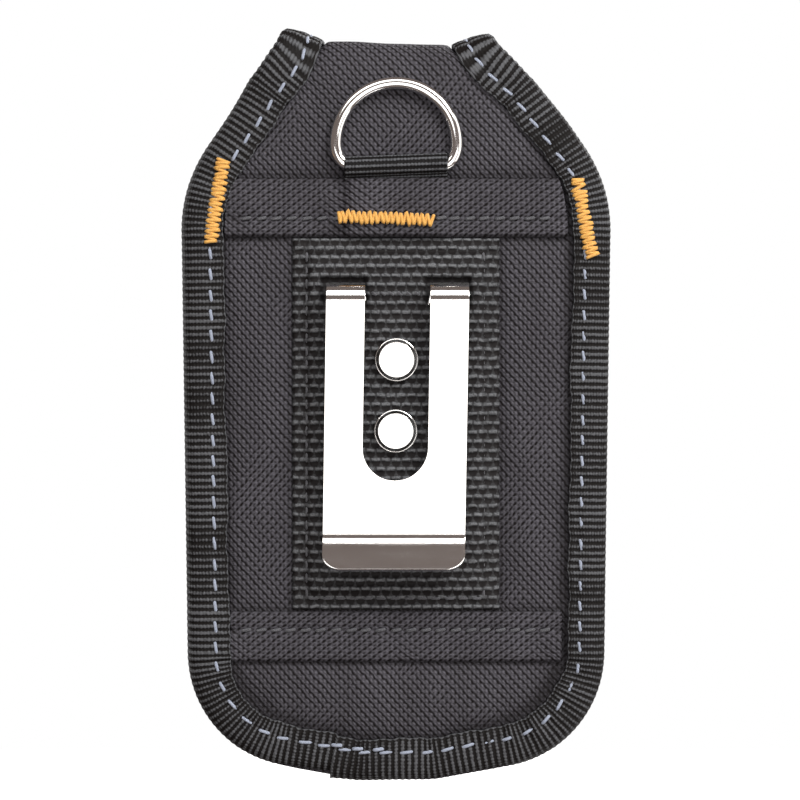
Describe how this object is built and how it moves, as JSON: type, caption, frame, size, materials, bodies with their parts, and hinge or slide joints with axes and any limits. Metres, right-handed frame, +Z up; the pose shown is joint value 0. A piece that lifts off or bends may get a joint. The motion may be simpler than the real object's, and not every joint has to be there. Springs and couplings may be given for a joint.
{
  "type": "belt tool pouch",
  "caption": "Padded fabric pouch with bound edges, a slotted spring belt clip riveted to a webbing patch, a D-ring and a fold-over flap.",
  "frame": {"origin": "belt seat: middle of the gap behind the clip, at the underside of the clip's crown", "axes": "+X right seen from the clip side, +Y from the clip side to the flap side, +Z up"},
  "size_m": [0.1042, 0.0527, 0.1794],
  "materials": {
    "ballistic_fabric": "matte woven",
    "foam": "matte",
    "lining": "matte",
    "binding_tape": "ribbed",
    "webbing": "coarse woven",
    "hook_and_loop": "napped",
    "orange_thread": "satin thread",
    "nickel_steel": "polished nickel plate"
  },
  "bodies": {
    "pouch": {"back_panel_shell": "ballistic_fabric", "back_panel_foam": "foam", "back_panel_lining": "lining", "edge_binding": "binding_tape", "upper_band": "ballistic_fabric", "lower_band": "ballistic_fabric", "clip_webbing": "webbing", "clip_back_plate": "nickel_steel", "rivet_upper": "nickel_steel", "rivet_lower": "nickel_steel", "rivet_upper_burr": "nickel_steel", "rivet_lower_burr": "nickel_steel", "d_ring_webbing": "webbing", "bartack_left": "orange_thread", "bartack_right": "orange_thread", "bartack_centre": "orange_thread", "pocket_gusset": "ballistic_fabric", "pocket_front_shell": "ballistic_fabric", "pocket_front_foam": "foam", "pocket_front_lining": "lining", "pocket_front_binding": "binding_tape", "pocket_mouth_binding": "binding_tape", "front_loop_tape": "hook_and_loop"},
    "clip_leg": {"clip_spring_leg": "nickel_steel"},
    "ring": {"d_ring": "nickel_steel"},
    "flap": {"flap_shell": "ballistic_fabric", "flap_foam": "foam", "flap_lining": "lining", "flap_binding": "binding_tape", "flap_hook_tape": "hook_and_loop"}
  },
  "joints": [
    {"name": "ring_swing", "type": "hinge", "parent": "pouch", "child": "ring", "pos_m": [0, 0.00385, 0.02925], "axis": [1, 0, 0], "range_deg": [0, 160]},
    {"name": "clip_spring", "type": "hinge", "parent": "pouch", "child": "clip_leg", "pos_m": [0, 0.00085, 0.00105], "axis": [-1, 0, 0], "range_deg": [0, 8], "stiffness_Nm_per_rad": 8},
    {"name": "flap_lift", "type": "hinge", "parent": "pouch", "child": "flap", "pos_m": [0, 0.0148, 0.0599], "axis": [1, 0, 0], "range_deg": [0, 180]}
  ]
}
